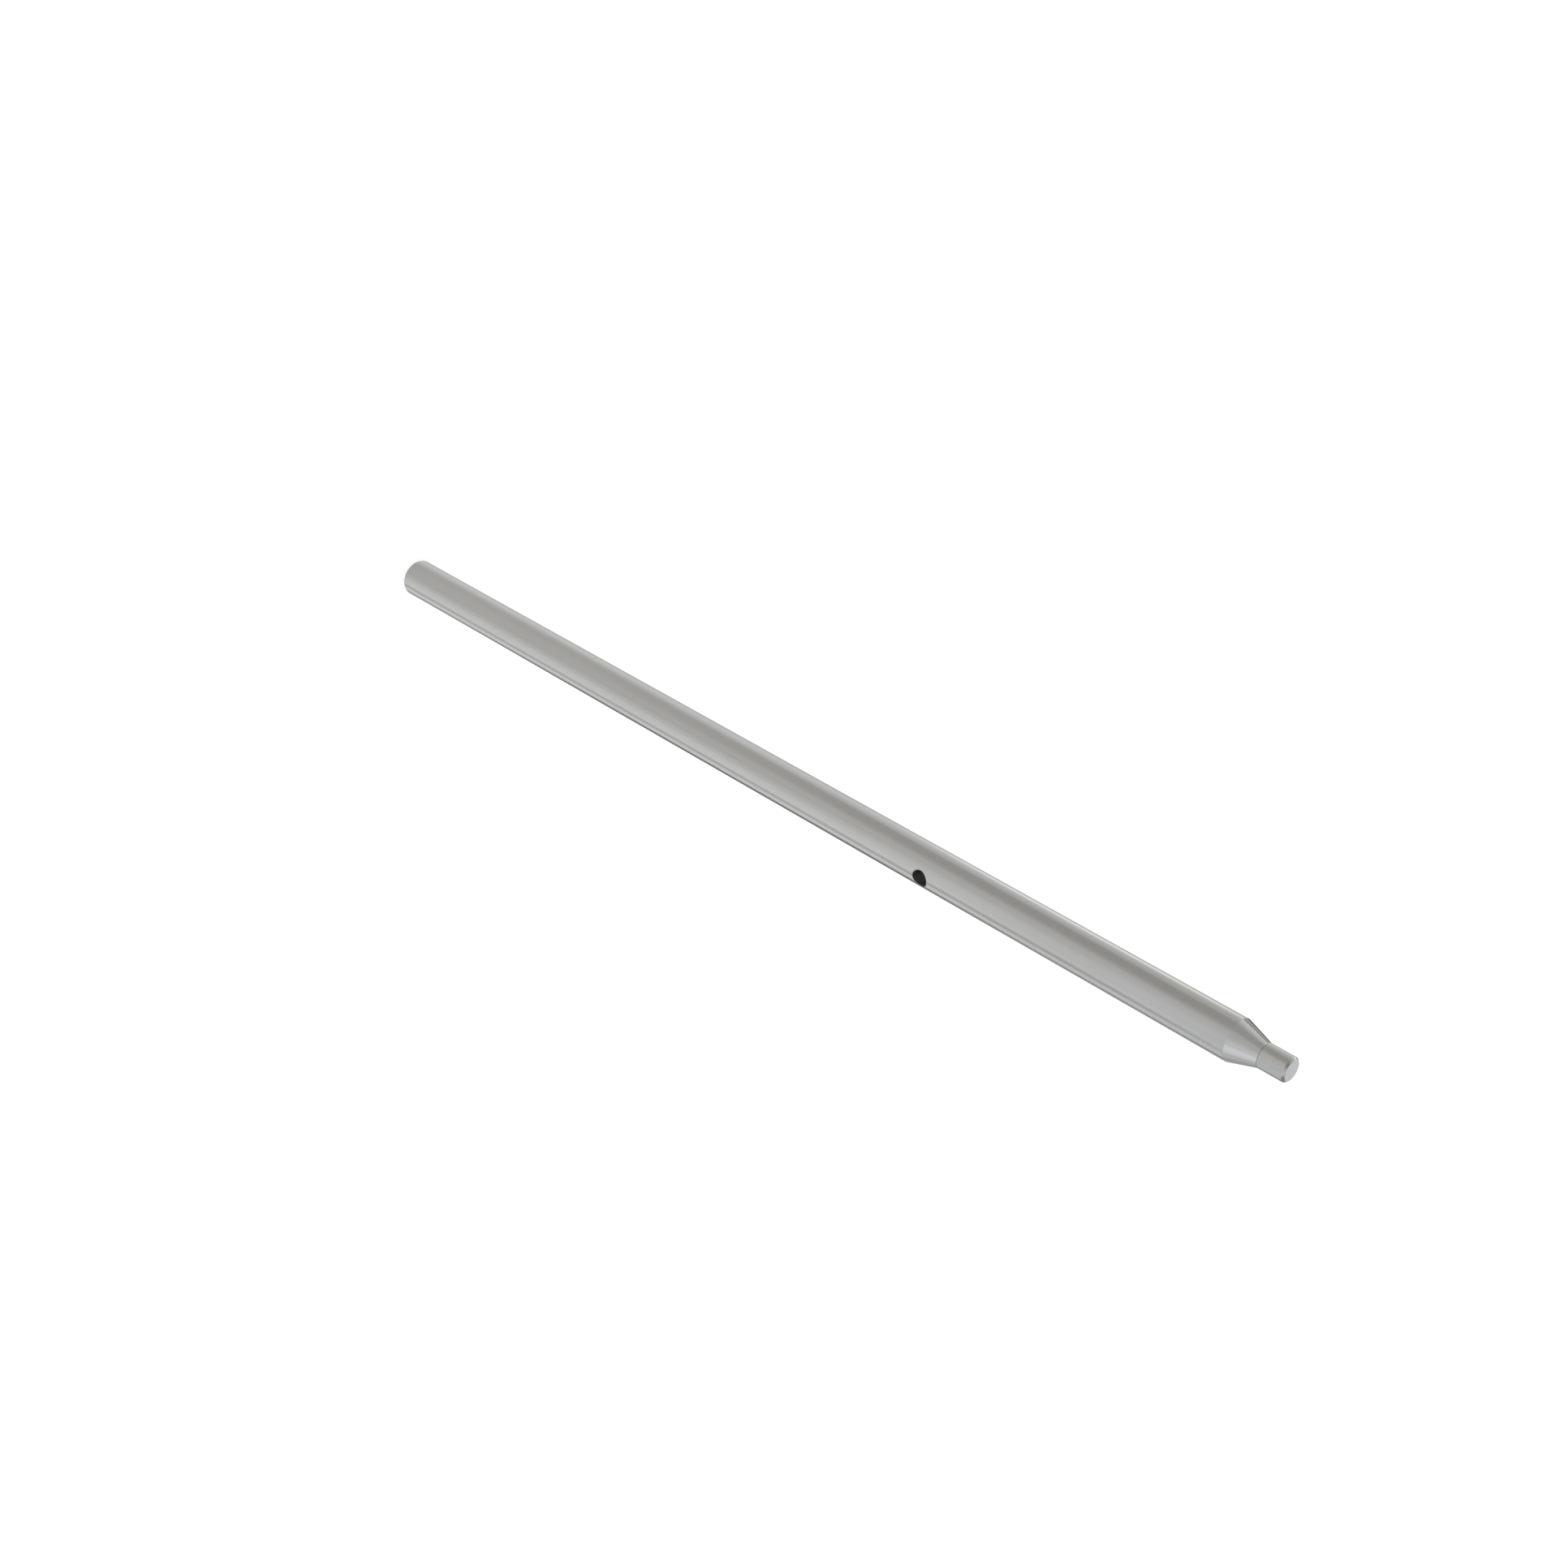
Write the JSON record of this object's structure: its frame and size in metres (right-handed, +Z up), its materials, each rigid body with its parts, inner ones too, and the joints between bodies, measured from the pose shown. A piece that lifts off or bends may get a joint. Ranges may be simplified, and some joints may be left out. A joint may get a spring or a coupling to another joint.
{
  "type": "optical post",
  "caption": "Plain round steel post with a conical nose, a smaller chamfered spigot tip and a round hole drilled across its shank.",
  "frame": {"origin": "centre of the flat foot end, the wide end away from the spigot", "axes": "+Z up along the post's axis from the foot to the spigot tip; the cross hole runs along Y"},
  "size_m": [0.012, 0.012, 0.35],
  "materials": {
    "steel": "fine turned and ground steel, satin, with a dark drilled bore"
  },
  "bodies": {
    "root": {"post": "steel"}
  },
  "joints": []
}
